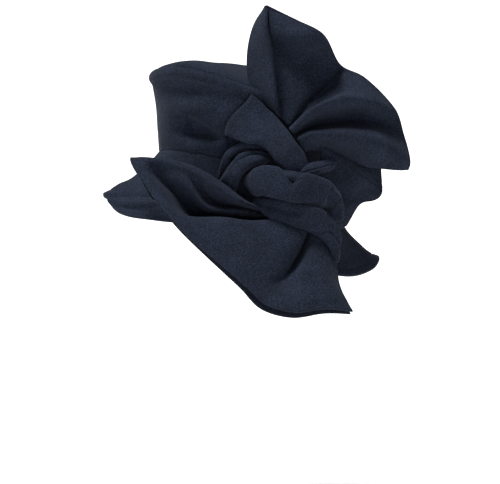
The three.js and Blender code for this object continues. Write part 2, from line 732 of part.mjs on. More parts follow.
const RIM_FOLD = [
  { at: [0.19, -0.515, 0.03], width: 0.05, thick: 0.5, faceUp: 10 },
  { at: [0.31, -0.55, 0.07], width: 0.08, thick: 0.7, faceUp: 10 },
  { at: [0.4, -0.6, 0.08], width: 0.1, thick: 0.8, faceUp: 8 },
  { at: [0.47, -0.68, 0.05], width: 0.1, thick: 0.8, faceUp: 4 },
  { at: [0.505, -0.77, 0.01], width: 0.08, thick: 0.7, faceUp: 0 },
  { at: [0.515, -0.87, -0.03], width: 0.04, thick: 0.5, faceUp: 0 },
];
const LEAF_END = [
  { at: [0.14, 0, 0.08], width: 0.08, thick: 0.6, faceUp: 30 },
  { at: [0.24, 0.05, 0.06], width: 0.11, thick: 0.8, faceUp: 30 },
  { at: [0.35, 0.08, 0.01], width: 0.12, thick: 0.8, faceUp: 30 },
  { at: [0.45, 0.105, -0.04], width: 0.09, thick: 0.6, faceUp: 30 },
  { at: [0.53, 0.125, -0.08], width: 0.02, thick: 0.3, faceUp: 30 },
];

// What keeps the head's space clear: the crown as one filled solid
function crownFilled(room) {
  const low = spot(0, SEAM_HEIGHT, 0);
  const high = spot(0, SEAM_HEIGHT + TOP_MIDDLE * CROWN_HEIGHT + TOP_PUFF + room, CROWN_TOWARD);
  const outside = crownNet(-room).map((row) => [low, ...row, high]);
  return between(outside, outside.map((row) => row.map(() => low)), true);
}

// The largest body of a cut piece
function mainBody(solid) {
  return solid.decompose().reduce((best, body) => (body.volume() > best.volume() ? body : best));
}

// Each piece after the crown is cut by the pieces that lie over it or carry it, with GAP between them
const makers = {
  crown_side: crownSide,
  crown_top: () => crownTop,
  brim: (room) => sheet(brimPoints, CLOTH, room, true),
  centre_roll: (room) => strap(CENTRE_ROLL, room),
  over_strap: (room) => strap(OVER_STRAP, room),
  leaf_end: (room) => strap(LEAF_END, room),
  inner_loop: (room) => strap(INNER_LOOP, room),
  outer_loop: (room) => strap(OUTER_LOOP, room),
  lower_roll: (room) => strap(LOWER_ROLL, room),
  rim_fold: (room) => strap(RIM_FOLD, room),
  fan: (room) => sheet(fanPoints, CLOTH, room),
  wing: (room) => sheet(wingPoints, CLOTH, room),
  wing_facing: (room) => sheet(facingPoints, CLOTH, room),
  back_flap: (room) => sheet(flapPoints, CLOTH, room),
};
const HEAD_GOES_IN = ["crown_side", "crown_top", "brim"];

const headSpace = crownFilled(GAP);
const cutters = [];
const hat = new THREE.Group();
for (const [name, make] of Object.entries(makers)) {
  let solid = make(0);
  for (const cutter of cutters) solid = solid.subtract(cutter);
  if (!HEAD_GOES_IN.includes(name)) solid = solid.subtract(headSpace);
  solid = mainBody(solid);
  cutters.push(make(GAP));
  const { numProp, vertProperties, triVerts } = solid.getMesh();
  const geometry = new THREE.BufferGeometry();
  const corners = Array.from(vertProperties).filter((_, i) => i % numProp < 3);
  geometry.setAttribute("position", new THREE.Float32BufferAttribute(corners, 3));
  geometry.setIndex(Array.from(triVerts));
  geometry.computeVertexNormals();
  const mesh = new THREE.Mesh(geometry, new THREE.MeshStandardMaterial(WOOL));
  mesh.name = name;
  hat.add(mesh);
}
hat.rotation.x = THREE.MathUtils.degToRad(-LEAN);

const part = new THREE.Group();
part.add(hat);
part.rotation.z = THREE.MathUtils.degToRad(KNOT_TURN);

export default part;
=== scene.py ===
"""A draped hat of thick navy wool cloth, dressed round its CAD model. Metres."""

import math

import bpy
import numpy as np
from mathutils import Matrix, Vector


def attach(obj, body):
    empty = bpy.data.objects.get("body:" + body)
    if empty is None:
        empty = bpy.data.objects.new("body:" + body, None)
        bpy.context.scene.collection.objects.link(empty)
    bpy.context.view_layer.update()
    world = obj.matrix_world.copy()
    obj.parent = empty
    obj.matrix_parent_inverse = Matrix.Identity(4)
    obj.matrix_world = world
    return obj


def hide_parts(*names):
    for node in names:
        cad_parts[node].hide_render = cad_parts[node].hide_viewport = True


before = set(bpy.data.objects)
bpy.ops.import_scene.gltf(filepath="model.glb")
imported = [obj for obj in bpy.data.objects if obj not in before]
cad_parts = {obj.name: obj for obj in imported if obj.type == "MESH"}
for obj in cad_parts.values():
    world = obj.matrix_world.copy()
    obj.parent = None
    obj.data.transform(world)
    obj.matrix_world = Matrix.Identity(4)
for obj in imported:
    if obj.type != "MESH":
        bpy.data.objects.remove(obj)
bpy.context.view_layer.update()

# Cloth
CLOTH = 0.0032  # one wall of doubled wool cloth
STRAP_THICK = 0.0135  # a strap folded from doubled cloth
SEAM_FADE = 0.02  # how far from a seam or hem the cloth's ripple is full

# The knot looks out between the wearer's front and left, and the hat leans a little away from it
KNOT_TURN = math.radians(60)
LEAN = math.radians(8)

# Crown
HEAD_LENGTH = 0.200
HEAD_WIDTH = 0.160
SEAM_HEIGHT = 0.034
CROWN_HEIGHT = 0.099
CROWN_TOWARD = 0.014
SEAM_ACROSS = -0.214
SEAM_OUT = 0.085
TOP_MIDDLE = 1.04
TOP_PUFF = 0.009
TOP_LAST_REACH = 0.003  # the top's last ring, which its middle closes
TOP_FLAT = 0.03  # how far from its middle the top's ripple is full
TOP_TUCK = 0.7 * CLOTH  # how far inside the wall's face the top's edge is sewn
LIP_ROLL = 0.0026  # the wall's rolled edge: half its extra thickness, and how far it stands out
LIP_WIDE = 0.008
LIP_BELOW = 0.003
LIP_SOFT = 0.0045

# Brim
BRIM_REACH = 0.060
BRIM_DROP = 0.058
BRIM_LENGTH = 0.07  # along the cloth from seam to rim
BRIM_UNDER_SEAM = 0.0003
SEAM_LAP = 0.0004  # how far the brim's top edge goes up past the crown's seam
SEAM_PULL = 0.03  # how far down the brim follows the seam's exact oval
BRIM_PRESSED = 0.02  # the brim's creases are pressed in up to this far behind the head's middle
BRIM_HEM = 0.0007  # how much its hem thickens, and how deep the stitched groove behind it is
BRIM_HEM_WIDE = 0.008
BRIM_STITCHES = 0.0088
STITCH_WIDE = 0.0012

# Fan and wing
FAN_HEM = 0.0004
FAN_HEM_WIDE = 0.006
FAN_CALM = 0.01  # how far from the rim its ripple is full
WING_HEM = 0.0006
WING_HEM_WIDE = 0.008
WING_CALM = 0.012

# Points in each grid: round or across, and along
CROWN_ROUND = 400
CROWN_UP = 70
TOP_IN = 44
BRIM_ROUND = 440
BRIM_DOWN = 60
FAN_STEPS = (230, 110)
WING_STEPS = (260, 120)
FACING_STEPS = 26
FLAP_STEPS = (190, 110)
STRAP_SIDES = 84
STRAP_STEPS = 130

# Knot
KNOT = (0.0345, 0.0295, 0.105)  # across, up, out
ARM = 0.1025

# Camera
EYE_AWAY = 4.0
EYE_ACROSS = -0.00105
EYE_UP = -0.0385
LENS = 274.3
FLOOR_DROP = 0.33

to_row = Matrix.Rotation(KNOT_TURN, 4, "Z") @ Matrix.Rotation(-LEAN, 4, "X")
ROW = np.array(to_row.to_3x3())


def from_knot(table):
    """Points of a table of (across, up, out) shares, in the knot's frame: x across, y away, z up"""
    shares = np.array(table, float)
    place = np.array(KNOT) + shares * ARM
    return np.stack([place[..., 0], -place[..., 2], place[..., 1]], axis=-1)


def through(points, places, closed=False):
    """A smooth curve through points (first axis), at places from 0 to 1"""
    count = len(points)
    if closed:
        ring = np.concatenate([points[-1:], points, points[:2]])
        reach = count
    else:
        ring = np.concatenate([2 * points[:1] - points[1:2], points, 2 * points[-1:] - points[-2:-1]])
        reach = count - 1
    along = np.clip(np.asarray(places) * reach, 0, reach - 1e-9)
    low = along.astype(int)
    mix = (along - low).reshape((-1,) + (1,) * (points.ndim - 1))
    a, b, c, d = (ring[low + k] for k in range(4))
    return b + 0.5 * mix * (c - a + mix * (2 * a - 5 * b + 4 * c - d + mix * (3 * (b - c) + d - a)))


BORDER_STEPS = (0.03, 0.13, 0.3, 0.55, 0.85, 1.3)  # shares of a border's width


def places(steps, border, length):
    """Places along a side: even steps, and short ones that round its two borders"""
    even = np.linspace(0, 1, steps + 1)
    near = np.array(BORDER_STEPS) * border / length
    inner = even[(even > near[-1]) & (even < 1 - near[-1])]
    return np.concatenate([[0], near, inner, 1 - near[::-1], [1]])


def unit(vectors):
    return vectors / np.maximum(np.linalg.norm(vectors, axis=-1, keepdims=True), 1e-12)


def grid_normals(grid, closed=False):
    if closed:
        across = np.roll(grid, -1, 0) - np.roll(grid, 1, 0)
    else:
        across = np.gradient(grid, axis=0)
    along = np.gradient(grid, axis=1)
    return unit(np.cross(across, along))


def border_distance(grid, closed):
    """How far each point of a grid is from its open borders, along the cloth"""
    def one_way(net):
        step = np.linalg.norm(np.diff(net, axis=1), axis=-1)
        run = np.concatenate([np.zeros((len(net), 1)), np.cumsum(step, axis=1)], axis=1)
        return run, run[:, -1:] - run

    start, end = one_way(grid)
    if closed:
        return start, end
    left, right = one_way(grid.swapaxes(0, 1))
    return start, end, left.T, right.T


def ease(values, width):
    """A line of values, averaged over a width in points"""
    kernel = np.hanning(width)
    kernel /= kernel.sum()
    return np.convolve(np.pad(values, width // 2, mode="edge"), kernel, "valid")


RIPPLE_WAVES = 14


def ripple(points, length, seed):
    """A smooth random field from -1 to 1 with waves of about one length"""
    dice = np.random.default_rng(seed)
    heading = unit(dice.normal(size=(RIPPLE_WAVES, 3)))
    pitch = 2 * math.pi / (length * dice.uniform(0.7, 1.5, RIPPLE_WAVES))
    phase = dice.uniform(0, 2 * math.pi, RIPPLE_WAVES)
    return np.sin(points @ heading.T * pitch + phase).sum(-1) / math.sqrt(RIPPLE_WAVES)


# The slow waves in each piece's cloth: height, wave length, and the seed of their random draws
RIPPLES = {
    "crown_side": (0.0007, 0.05, 3),
    "crown_seam": (0.0004, 0.02, 4),
    "crown_top": (0.0008, 0.06, 9),
    "brim": (0.0009, 0.045, 12),
    "fan": (0.0008, 0.05, 21),
    "wing": (0.0007, 0.045, 31),
    "back_flap": (0.0005, 0.03, 41),
}


def waves(name, grid):
    height, length, seed = RIPPLES[name]
    return height * ripple(grid, length, seed)


def smooth(x):
    x = np.clip(x, 0, 1)
    return x * x * (3 - 2 * x)


def add_mesh(name, points, faces, node, material):
    """A piece of the hat from points in the knot's frame, standing for a CAD node"""
    places_in_row = points @ ROW.T
    mesh = bpy.data.meshes.new(name)
    mesh.from_pydata(places_in_row.tolist(), [], faces)
    mesh.validate()
    mesh.polygons.foreach_set("use_smooth", [True] * len(mesh.polygons))
    mesh.materials.append(material)
    mesh.update()
    piece = bpy.data.objects.new(name, mesh)
    bpy.context.scene.collection.objects.link(piece)
    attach(piece, "root")
    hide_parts(node)
    return piece


def closed_faces(rows, columns, wrap, shared):
    """Quads of a front and a back grid that share the points where shared is True"""
    front = np.arange(rows * columns).reshape(rows, columns)
    back = front.copy()
    loose = ~shared
    back[loose] = rows * columns + np.arange(loose.sum())
    down = np.roll(front, -1, 0) if wrap else front[1:]
    down_back = np.roll(back, -1, 0) if wrap else back[1:]
    top, top_back = (front, back) if wrap else (front[:-1], back[:-1])
    faces = [
        np.stack([top[:, :-1], down[:, :-1], down[:, 1:], top[:, 1:]], -1),
        np.stack([top_back[:, :-1], top_back[:, 1:], down_back[:, 1:], down_back[:, :-1]], -1),
    ]
    return np.concatenate([f.reshape(-1, 4) for f in faces])


def cloth(name, grid, node, material, closed=False, capped=False, lift=None, swell=None):
    """A wall of cloth on a grid: lift moves it along its normal, and swell adds to its half thickness

    A capped one goes on over its last ring."""
    if lift is not None:
        grid = grid + grid_normals(grid, closed) * lift[..., None]
    normal = grid_normals(grid, closed)
    runs = border_distance(grid, closed)
    nearest = runs[0] if capped else np.minimum.reduce(runs)
    half = CLOTH / 2 if swell is None else CLOTH / 2 + swell
    round_off = np.clip(nearest / (CLOTH / 2), 0, 1)
    height = half * np.sqrt(1 - (1 - round_off) ** 2)
    shared = nearest <= 1e-9
    height = np.where(shared, 0, height)
    front = grid + normal * height[..., None]
    back = grid - normal * height[..., None]
    points = np.concatenate([front.reshape(-1, 3), back[~shared]])
    rings, columns = grid.shape[:2]
    faces = closed_faces(rings, columns, closed, shared).tolist()
    if capped:
        back_columns = columns - 1
        faces.append([columns * ring + columns - 1 for ring in range(rings)][::-1])
        faces.append([rings * columns + back_columns * ring + back_columns - 1 for ring in range(rings)])
    return add_mesh(name, points, faces, node, material)


def turned(grid):
    """1 where a grid's normal looks at the eye, and -1 where it looks away"""
    return -np.sign(np.median(grid_normals(grid)[..., 1]))


def ribs_grid(ribs, across_steps, along_steps):
    """The grid of a table of ribs, and its places across"""
    rows = from_knot(list(ribs.values()))
    length_along = np.linalg.norm(np.diff(rows, axis=1), axis=-1).sum(1).mean()
    length_across = np.linalg.norm(np.diff(rows, axis=0), axis=-1).sum(0).mean()
    along = places(along_steps, CLOTH / 2, length_along)
    across = places(across_steps, CLOTH / 2, length_across)
    lines = through(rows.swapaxes(0, 1), along).swapaxes(0, 1)
    return through(lines, across), across


def ridge(distance, width):
    return np.exp(-((distance / width) ** 2))


# Creases pressed into a piece: depth (below zero is a raised fold), how wide its slope is on the left and
# on the right of the line, and the line itself in (across, up) shares from the knot
CREASES = {
    "crown_side": [
        (-0.0035, 0.0009, 0.012, (
            (-0.34, 0.84), (-0.42, 0.7), (-0.5, 0.61), (-0.57, 0.51), (-0.59, 0.43), (-0.58, 0.35),
            (-0.59, 0.25),
        )),
        (0.0042, 0.005, 0.009, (
            (-1.01, 0.54), (-0.93, 0.53), (-0.85, 0.49), (-0.73, 0.43), (-0.59, 0.38),
        )),
    ],
    "over_strap": [
        (0.0026, 0.005, 0.005, (
            (-0.59, 0.42), (-0.45, 0.41), (-0.33, 0.39), (-0.23, 0.34), (-0.13, 0.25),
        )),
    ],
    "centre_roll": [
        (0.006, 0.008, 0.0012, (
            (-0.06, 0.12), (-0.01, 0.06), (0.03, 0), (0.07, -0.05), (0.09, -0.09),
        )),
        (0.0045, 0.006, 0.0012, (
            (0.05, -0.07), (0.09, -0.03), (0.14, 0.01), (0.21, 0.06),
        )),
        (0.0052, 0.009, 0.0013, (
            (0.49, -0.06), (0.47, -0.12), (0.45, -0.21), (0.4, -0.31), (0.36, -0.37),
        )),
    ],
    "inner_loop": [
        (0.0042, 0.0045, 0.0011, (
            (-0.69, -0.09), (-0.64, -0.01), (-0.58, 0.06), (-0.5, 0.14), (-0.4, 0.2), (-0.3, 0.22),
            (-0.2, 0.2), (-0.11, 0.14),
        )),
    ],
    "lower_roll": [
        (0.0048, 0.007, 0.0012, (
            (0.39, -0.29), (0.42, -0.35), (0.45, -0.43), (0.5, -0.52), (0.56, -0.62),
        )),
        (0.0022, 0.0045, 0.0035, (
            (-0.23, -0.28), (-0.09, -0.32), (0.07, -0.36), (0.21, -0.38),
        )),
    ],
    "leaf_end": [
        (0.0016, 0.0012, 0.0012, (
            (0.16, 0.01), (0.23, 0.04), (0.37, 0.08), (0.52, 0.12), (0.56, 0.12),
        )),
    ],
    "fan": [
        (0.0035, 0.008, 0.0012, (
            (0.58, 1.11), (0.53, 1.04), (0.45, 0.96), (0.33, 0.84), (0.21, 0.71),
        )),
    ],
    "wing": [
        (0.0018, 0.0028, 0.0028, (
            (-0.86, 0.03), (-0.84, -0.05), (-0.82, -0.12), (-0.78, -0.2), (-0.69, -0.28),
            (-0.58, -0.31), (-0.37, -0.32),
        )),
    ],
    "back_flap": [
        (0.0016, 0.0014, 0.0014, (
            (0.45, 0.27), (0.61, 0.14), (0.77, 0.02), (1.01, -0.16),
        )),
        (0.0016, 0.0014, 0.0014, (
            (0.47, 0.32), (0.63, 0.18), (0.79, 0.07), (1.03, -0.12),
        )),
    ],
    "brim": [
        (-0.0024, 0.0034, 0.0034, (
            (-1.87, -0.19), (-1.73, -0.2), (-1.62, -0.2), (-1.45, -0.21), (-1.23, -0.21),
        )),
        (0.0032, 0.0016, 0.0026, (
            (-1.86, -0.23), (-1.73, -0.26), (-1.62, -0.28), (-1.45, -0.28), (-1.23, -0.29),
        )),
        (0.0012, 0.0009, 0.0009, (
            (-0.59, 0.2), (-0.61, 0.14), (-0.63, 0.08), (-0.66, -0.01),
        )),
    ],
}


CREASE_MARKS = 90
CREASE_FADE = 0.16  # share of a crease's line over which it fades at each end


def pressed(name, points):
    """How far a piece's creases press each point in"""
    flat = points[..., [0, 2]].reshape(-1, 2)
    press = np.zeros(len(flat))
    for deep, left, right, line in CREASES.get(name, ()):
        marks = np.array(KNOT[:2]) + through(np.array(line, float), np.linspace(0, 1, CREASE_MARKS)) * ARM
        ahead = np.gradient(marks, axis=0)
        low, high = marks.min(0) - 3 * max(left, right), marks.max(0) + 3 * max(left, right)
        near = np.flatnonzero(((flat > low) & (flat < high)).all(1))
        gap = flat[near, None] - marks[None]
        distance = np.linalg.norm(gap, axis=-1)
        mark = distance.argmin(1)
        step, offset = ahead[mark], gap[np.arange(len(near)), mark]
        off_line = step[:, 0] * offset[:, 1] - step[:, 1] * offset[:, 0]
        width = np.where(off_line > 0, left, right)
        along = mark / (len(marks) - 1)
        fade = smooth(along / CREASE_FADE) * smooth((1 - along) / CREASE_FADE)
        press[near] += deep * fade * ridge(distance[np.arange(len(near)), mark], width)
    return press.reshape(points.shape[:-1])


# Materials: the noise scales of the wool's tone, grain, fleck, pile and single hairs, per metre
TONE, GRAIN, FLECK, PILE, HAIR = 38, 800, 1500, 620, 1700
FLECK_FROM = 0.64
FLECK_SHARE = 0.3
LYING = (1.0, 0.35, 1.0)  # the fibres lie along one way of the cloth
HAIR_LYING = (1.0, 0.4, 1.0)
PILE_HEIGHT = 0.0008


def wool(name, colour, light):
    """Napped wool: a fine fleck of lighter fibres over a slow change of tone, with a raised nap"""
    material = bpy.data.materials.new(name)
    material.use_nodes = True
    nodes, links = material.node_tree.nodes, material.node_tree.links
    shader = nodes["Principled BSDF"]
    shader.inputs["Roughness"].default_value = 0.92
    shader.inputs["Specular IOR Level"].default_value = 0.12
    shader.inputs["Sheen Weight"].default_value = 0.05
    shader.inputs["Sheen Roughness"].default_value = 0.42
    shader.inputs["Sheen Tint"].default_value = (0.55, 0.62, 0.8, 1)
    where = nodes.new("ShaderNodeTexCoord")

    def noise(scale, detail, rough, stretch=None):
        made = nodes.new("ShaderNodeTexNoise")
        made.inputs["Scale"].default_value = scale
        made.inputs["Detail"].default_value = detail
        made.inputs["Roughness"].default_value = rough
        source = where.outputs["Object"]
        if stretch:
            mapping = nodes.new("ShaderNodeMapping")
            mapping.inputs["Scale"].default_value = stretch
            mapping.inputs["Rotation"].default_value = (0.5, 0.3, 0.9)
            links.new(source, mapping.inputs["Vector"])
            source = mapping.outputs["Vector"]
        links.new(source, made.inputs["Vector"])
        return made.outputs["Fac"]

    def ramp(value, stops):
        made = nodes.new("ShaderNodeValToRGB")
        for _ in stops[2:]:
            made.color_ramp.elements.new(0.5)
        for element, (place, tone) in zip(made.color_ramp.elements, stops):
            element.position = place
            element.color = (*tone, 1)
        links.new(value, made.inputs["Fac"])
        return made.outputs["Color"]

    def mix(mode, share, first, second):
        made = nodes.new("ShaderNodeMix")
        made.data_type = "RGBA"
        made.blend_type = mode
        if isinstance(share, float):
            made.inputs[0].default_value = share
        else:
            links.new(share, made.inputs[0])
        links.new(first, made.inputs[6])
        links.new(second, made.inputs[7])
        return made.outputs[2]

    darker, paler = (tuple(share * c for c in colour) for share in (0.76, 1.24))
    slow = ramp(noise(TONE, 3, 0.6), [(0.3, darker), (0.72, paler)])
    grain = ramp(noise(GRAIN, 3, 0.75), [(0.36, (0.36,) * 3), (0.5, (0.95,) * 3), (0.64, (2.1,) * 3)])
    base = mix("MULTIPLY", 1.0, slow, grain)
    fleck = nodes.new("ShaderNodeMath")
    fleck.operation = "GREATER_THAN"
    fleck.inputs[1].default_value = FLECK_FROM
    links.new(noise(FLECK, 1, 0.5, LYING), fleck.inputs[0])
    tone = nodes.new("ShaderNodeRGB")
    tone.outputs[0].default_value = (*light, 1)
    soft_fleck = nodes.new("ShaderNodeMath")
    soft_fleck.operation = "MULTIPLY"
    soft_fleck.inputs[1].default_value = FLECK_SHARE
    links.new(fleck.outputs[0], soft_fleck.inputs[0])
    final = mix("MIX", soft_fleck.outputs[0], base, tone.outputs[0])
    links.new(final, shader.inputs["Base Color"])

    pile = nodes.new("ShaderNodeMath")
    pile.operation = "ADD"
    links.new(noise(PILE, 3, 0.65), pile.inputs[0])
    links.new(noise(HAIR, 2, 0.6, HAIR_LYING), pile.inputs[1])
    bump = nodes.new("ShaderNodeBump")
    bump.inputs["Strength"].default_value = 0.55
    bump.inputs["Distance"].default_value = PILE_HEIGHT
    links.new(pile.outputs[0], bump.inputs["Height"])
    links.new(bump.outputs["Normal"], shader.inputs["Normal"])
    return material


# Each cloth's ground colour and the colour of its lighter fibres
WOOL = wool("wool", (0.0084, 0.0119, 0.0222), (0.033, 0.045, 0.072))
# The facing's wool is a darker copy of the same cloth: painted shade for the narrow gap behind the wing's
# rim
FACING_SHADE_WOOL = wool("wool_facing", (0.0062, 0.0085, 0.0155), (0.025, 0.033, 0.052))


# Crown: the height of its edge and how much it flares, by turn in degrees
CROWN_EDGE = [  # turn, height, flare
    (0, 0.84, 0),
    (45, 0.97, 0),
    (90, 1.04, 0),
    (135, 1.04, 0),
    (165, 1.025, 0.01),
    (187, 1.0, 0.03),
    (203, 1.035, 0.02),
    (220, 1.06, 0),
    (238, 1.005, 0),
    (256, 0.907, 0),
    (272, 0.8, 0),
    (300, 0.77, 0),
    (335, 0.79, 0),
]
CROWN_PROFILE = [  # share, swell
    (0, 1),
    (0.15, 1.025),
    (0.32, 1.04),
    (0.48, 1.045),
    (0.64, 1.05),
    (0.82, 1.06),
    (0.95, 1.065),
    (1, 1.03),
]
CROWN_DENTS = [  # across, up, wide, tall, deep
    (-0.43, 1.2, 0.2, 0.1, 0.035),
    (-0.33, 0.98, 0.18, 0.11, -0.02),
    (-0.385, 0.79, 0.09, 0.1, 0.06),
    (-0.25, 0.72, 0.13, 0.08, 0.045),
]


EDGE_SPANS = 24  # the edge's height and flare are averaged over this share of the round, to each side


def round_table(table, turn, column):
    """A column of a table of turns, at any turn"""
    turns = np.array([row[0] for row in table] + [360.0])
    values = np.array([row[column] for row in table] + [table[0][column]])
    return np.interp(turn, turns, values)


def soften(values, width):
    """A closed ring of values, averaged over a width in points"""
    kernel = np.hanning(width + 2)[1:-1]
    kernel /= kernel.sum()
    wide = np.concatenate([values[-width:], values, values[:width]])
    return np.convolve(wide, kernel, "same")[width:-width]


def crown_ring(rounds, share, swell, inset):
    """Points of the crown's wall at one share of its height"""
    def oval(size):
        ahead = (HEAD_LENGTH / 2 * size - inset) * np.cos(rounds)
        aside = (HEAD_WIDTH / 2 * size - inset) * np.sin(rounds)
        across = -ahead * math.sin(KNOT_TURN) + aside * math.cos(KNOT_TURN)
        out = ahead * math.cos(KNOT_TURN) + aside * math.sin(KNOT_TURN)
        return np.stack([across, -out], -1)

    base = oval(1)
    turn = np.degrees(np.arctan2(base[:, 1], base[:, 0])) % 360
    width = max(3, len(rounds) // EDGE_SPANS * 2 + 1)
    height = soften(round_table(CROWN_EDGE, turn, 1), width)
    flare = soften(round_table(CROWN_EDGE, turn, 2), width)
    flat = oval(swell + flare * share**4)
    seam = SEAM_HEIGHT + SEAM_ACROSS * flat[:, 0] - SEAM_OUT * flat[:, 1]
    up = seam + share * (SEAM_HEIGHT + height * CROWN_HEIGHT - seam)
    points = np.column_stack([flat[:, 0], flat[:, 1] - share * CROWN_TOWARD, up])
    near = flat[:, 1] < 0
    for across, level, wide, tall, deep in CROWN_DENTS:
        sideways = (points[:, 0] / HEAD_WIDTH - across) / wide
        upward = (points[:, 2] / CROWN_HEIGHT - level) / tall
        points[:, 1] += deep * HEAD_WIDTH * np.exp(-(sideways**2) - upward**2) * near
    return points


PROFILE_EASE = 9
rounds = np.linspace(0, 2 * math.pi, CROWN_ROUND + 1)[:-1]


def make_crown_side():
    profile = np.array(CROWN_PROFILE)
    share = places(CROWN_UP, CLOTH / 2, CROWN_HEIGHT)
    swell = ease(np.interp(share, profile[:, 0], profile[:, 1]), PROFILE_EASE)
    grid = np.stack([crown_ring(rounds, s, w, CLOTH / 2) for s, w in zip(share, swell)], 1)
    start, end = border_distance(grid, True)
    roll = LIP_ROLL * smooth(1 - end / LIP_WIDE)
    lift = waves("crown_side", grid) * smooth(end / SEAM_FADE) * smooth(start / SEAM_FADE)
    lift += waves("crown_seam", grid) * smooth(1 - start / SEAM_FADE)
    in_front = grid[..., 1] < 0
    lift += LIP_ROLL * ridge(end - LIP_BELOW, LIP_SOFT) - pressed("crown_side", grid) * in_front
    return cloth("crown_side_cloth", grid, "crown_side", WOOL, closed=True, lift=lift, swell=roll)


TOP_RINGS = [  # reach, rise
    (1, -0.6),
    (0.975, -0.25),
    (0.996, 0.3),
    (0.98, 0.75),
    (0.93, 1.02),
    (0.85, 1.15),
    (0.72, 1.25),
    (0.5, 1.15),
    (0.25, 1.05),
    (0.03, 1),
]


def make_crown_top():
    rim = crown_ring(rounds, 1, CROWN_PROFILE[-1][1], TOP_TUCK)
    middle = np.array([0, -CROWN_TOWARD, SEAM_HEIGHT + TOP_MIDDLE * CROWN_HEIGHT])
    steps = places(TOP_IN, CLOTH / 2, HEAD_WIDTH / 2)
    ring = through(np.array(TOP_RINGS, float), steps)
    reach, rise = ring[:, 0], ring[:, 1]
    reach[-1] = TOP_LAST_REACH
    grid = middle + (rim - middle)[:, None, :] * reach[None, :, None]
    grid[..., 2] += rise * TOP_PUFF - CLOTH / 2
    lift = waves("crown_top", grid)
    lift *= smooth(np.linalg.norm(grid - middle, axis=-1) / TOP_FLAT)
    return cloth("crown_top_cloth", grid, "crown_top", WOOL, closed=True, capped=True, lift=lift)


# Brim, in sections round the seam: how far out and down it has gone at its fall, its spread and its rim
BRIM_SECTIONS = [  # turn, fall out, fall drop, spread out, spread drop, rim out, rim drop
    (0, 0.04, 0.55, 0.4, 1.0, 0.71, 1.2),
    (30, 0.1, 0.5, 0.45, 0.95, 0.78, 1.16),
    (65, 0.16, 0.44, 0.5, 0.82, 0.82, 1.02),
    (100, 0.2, 0.4, 0.52, 0.74, 0.86, 0.9),
    (140, 0.34, 0.4, 0.66, 0.6, 0.98, 0.74),
    (165, 0.42, 0.44, 0.72, 0.57, 1.02, 0.7),
    (182, 0.44, 0.48, 0.74, 0.62, 1.02, 0.76),
    (192, 0.44, 0.46, 0.74, 0.6, 1.0, 0.78),
    (203, 0.36, 0.56, 0.66, 0.86, 0.84, 1.12),
    (218, 0.18, 0.6, 0.34, 0.92, 0.46, 1.24),
    (245, 0.02, 0.6, 0.06, 0.94, 0.12, 1.24),
    (275, 0, 0.6, 0.04, 1.0, 0.12, 1.38),
    (305, 0, 0.66, 0.08, 1.1, 0.24, 1.62),
    (330, 0, 0.64, 0.26, 1.16, 0.54, 1.66),
    (348, 0.02, 0.6, 0.36, 1.1, 0.69, 1.46),
]


def make_brim():
    seam = crown_ring(rounds, 0, 1, CLOTH / 2)
    level = unit(seam[:, :2])
    rows = []
    for turn, *section in BRIM_SECTIONS:
        heading = np.array([math.cos(math.radians(turn)), math.sin(math.radians(turn))])
        root = seam[np.argmax(level @ heading)] - np.array([0, 0, BRIM_UNDER_SEAM])
        stations = [root]
        for reach, drop in (section[0:2], section[2:4], section[4:6]):
            stations.append(root + np.array([*heading * reach * BRIM_REACH, -drop * BRIM_DROP]))
        rows.append(stations)
    rows = np.array(rows)
    along = places(BRIM_DOWN, CLOTH / 2, BRIM_LENGTH)
    lines = through(rows.swapaxes(0, 1), along).swapaxes(0, 1)
    grid = through(lines, np.linspace(0, 1, BRIM_ROUND + 1)[:-1], closed=True)
    start, end = border_distance(grid, True)
    seam_turn, rim_turn = (np.arctan2(ring[:, 1], ring[:, 0]) for ring in (seam, grid[:, 0]))
    on_seam = [np.interp(rim_turn, seam_turn, seam[:, k], period=2 * math.pi) for k in range(3)]
    to_seam = np.stack(on_seam, -1) + np.array([0, 0, SEAM_LAP]) - grid[:, 0]
    grid += to_seam[:, None] * (1 - smooth(start / SEAM_PULL))[..., None]
    in_front = grid[..., 1] < BRIM_PRESSED
    lift = waves("brim", grid) * smooth(start / SEAM_FADE) - pressed("brim", grid) * in_front
    hem = BRIM_HEM * smooth(1 - end / BRIM_HEM_WIDE) - BRIM_HEM * ridge(end - BRIM_STITCHES, STITCH_WIDE)
    return cloth("brim_cloth", grid, "brim", WOOL, closed=True, lift=lift, swell=hem)


